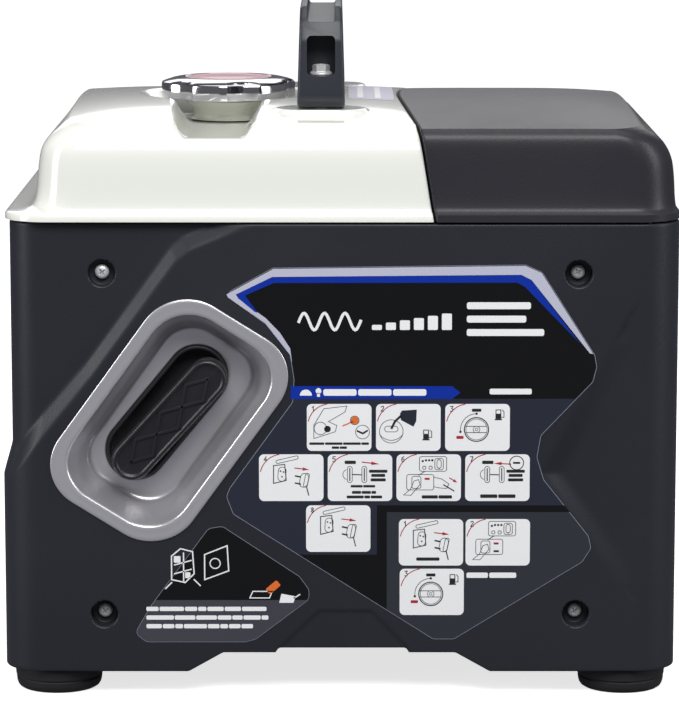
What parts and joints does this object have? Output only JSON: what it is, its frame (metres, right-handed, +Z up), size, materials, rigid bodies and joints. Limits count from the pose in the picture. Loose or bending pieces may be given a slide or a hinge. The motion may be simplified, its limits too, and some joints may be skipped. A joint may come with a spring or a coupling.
{
  "type": "portable generator",
  "caption": "Closed box inverter generator: black case with recoil starter, cream fuel tank lid, chrome cap and carry handle.",
  "frame": {"origin": "centre of the bounding box on the floor, under the middle of the case", "axes": "+Z up, -Y out of the cover with the starter dish, -X out of the control panel, +X out of the exhaust end"},
  "size_m": [0.45, 0.323, 0.457],
  "materials": {
    "case_black": "fine matt moulding texture",
    "hood_black": "satin moulded",
    "handle_black": "satin moulded",
    "fitting_black": "satin moulded",
    "fitting_grey": "matt moulded",
    "grip_black": "matt moulded rubber",
    "tank_cream": "gloss moulded",
    "neck_cream": "gloss moulded",
    "cap_chrome": "bright plated",
    "dish_stainless": "satin pressed",
    "tail_stainless": "satin",
    "screw_zinc": "zinc plated",
    "frame_steel": "semi gloss black coat",
    "cast_alloy": "as cast",
    "winding_copper": "varnished copper wire",
    "rubber_black": "matt",
    "rope_pale": "braided nylon",
    "signal_red": "gloss moulded",
    "label_print": "printed film"
  },
  "bodies": {
    "body": {"side_panel_front": "case_black", "side_panel_rear": "case_black", "end_panel_control": "case_black", "end_panel_exhaust": "case_black", "top_hood": "hood_black", "carry_handle": "handle_black", "recoil_socket": "fitting_black", "ac_outlet_1": "fitting_black", "ac_outlet_2": "fitting_black", "dc_outlet": "fitting_black", "air_filter_box": "fitting_black", "spark_plug": "fitting_black", "control_fascia": "fitting_grey", "tank_lower_shell": "fitting_grey", "tank_upper_shell": "tank_cream", "filler_neck": "neck_cream", "recoil_dish": "dish_stainless", "exhaust_outlet": "tail_stainless", "panel_screw_1": "screw_zinc", "panel_screw_2": "screw_zinc", "panel_screw_3": "screw_zinc", "panel_screw_4": "screw_zinc", "handle_bolt_front": "screw_zinc", "handle_bolt_rear": "screw_zinc", "ground_terminal": "screw_zinc", "base_frame": "frame_steel", "recoil_housing": "frame_steel", "muffler": "frame_steel", "recoil_spring": "frame_steel", "crankcase": "cast_alloy", "cylinder": "cast_alloy", "cylinder_head": "cast_alloy", "inverter_module": "cast_alloy", "carburetor": "cast_alloy", "stator": "winding_copper", "rubber_foot_front_left": "rubber_black", "rubber_foot_front_right": "rubber_black", "rubber_foot_rear_left": "rubber_black", "rubber_foot_rear_right": "rubber_black", "engine_mount_1": "rubber_black", "engine_mount_2": "rubber_black", "recoil_rope": "rope_pale", "instruction_label": "label_print", "oil_label": "label_print"},
    "recoil_pull": {"recoil_grip": "grip_black"},
    "starter_reel": {"recoil_reel": "fitting_grey", "rope_winding": "rope_pale"},
    "crank_group": {"crankshaft": "frame_steel", "rotor": "cast_alloy", "cooling_fan": "fitting_black"},
    "cap_seal": {"cap_gasket": "rubber_black"},
    "cap": {"fuel_cap": "cap_chrome"},
    "choke": {"choke_knob": "fitting_black"},
    "fuel_valve": {"fuel_valve_knob": "fitting_black"},
    "engine_switch": {"engine_switch_rocker": "signal_red"},
    "eco_switch": {"eco_switch_rocker": "fitting_black"},
    "cover_1": {"outlet_cover_1": "fitting_grey"},
    "cover_2": {"outlet_cover_2": "fitting_grey"},
    "breaker": {"breaker_button": "signal_red"},
    "dipstick": {"oil_dipstick": "signal_red"}
  },
  "joints": [
    {"name": "recoil_pull_out", "type": "slide", "parent": "body", "child": "recoil_pull", "axis": [0, -1, 0], "range_m": [0, 0.5], "stiffness_N_per_m": 40, "springref_m": -0.2, "deforming": ["recoil_rope"]},
    {"name": "starter_reel_turn", "type": "hinge", "parent": "body", "child": "starter_reel", "pos_m": [-0.05, -0.09, 0.14], "axis": [0, 1, 0], "range_deg": [0, 870]},
    {"name": "crank_spin", "type": "hinge", "parent": "body", "child": "crank_group", "pos_m": [-0.05, 0, 0.14], "axis": [0, 1, 0], "continuous": true},
    {"name": "cap_lift", "type": "slide", "parent": "body", "child": "cap_seal", "axis": [0, 0, 1], "range_m": [0, 0.08]},
    {"name": "cap_turn", "type": "hinge", "parent": "cap_seal", "child": "cap", "pos_m": [-0.0776, 0, 0.39], "axis": [0, 0, 1], "range_deg": [0, 120]},
    {"name": "choke_pull", "type": "slide", "parent": "body", "child": "choke", "axis": [-1, 0, 0], "range_m": [0, 0.014]},
    {"name": "fuel_valve_turn", "type": "hinge", "parent": "body", "child": "fuel_valve", "pos_m": [-0.2157, -0.048, 0.246], "axis": [-1, 0, 0], "range_deg": [0, 90]},
    {"name": "engine_switch_rock", "type": "hinge", "parent": "body", "child": "engine_switch", "pos_m": [-0.2137, 0.038, 0.246], "axis": [0, 1, 0], "range_deg": [0, 14]},
    {"name": "eco_switch_rock", "type": "hinge", "parent": "body", "child": "eco_switch", "pos_m": [-0.2137, -0.006, 0.246], "axis": [0, 1, 0], "range_deg": [0, 14]},
    {"name": "cover_1_flip", "type": "hinge", "parent": "body", "child": "cover_1", "pos_m": [-0.2228, 0.038, 0.14], "axis": [0, 1, 0], "range_deg": [0, 110], "stiffness_Nm_per_rad": 0.01, "springref_deg": -17.19},
    {"name": "cover_2_flip", "type": "hinge", "parent": "body", "child": "cover_2", "pos_m": [-0.2228, -0.014, 0.14], "axis": [0, 1, 0], "range_deg": [0, 110], "stiffness_Nm_per_rad": 0.01, "springref_deg": -17.19},
    {"name": "breaker_press", "type": "slide", "parent": "body", "child": "breaker", "axis": [1, 0, 0], "range_m": [0, 0.003], "stiffness_N_per_m": 300, "springref_m": -0.002},
    {"name": "dipstick_unscrew", "type": "hinge", "parent": "body", "child": "dipstick", "pos_m": [0.045, 0.08, 0.09], "axis": [1, 0, 0], "range_deg": [0, 540]}
  ],
  "couplings": [
    {"joint": "starter_reel_turn", "follows": "recoil_pull_out", "rad_per_m": 30.3}
  ]
}
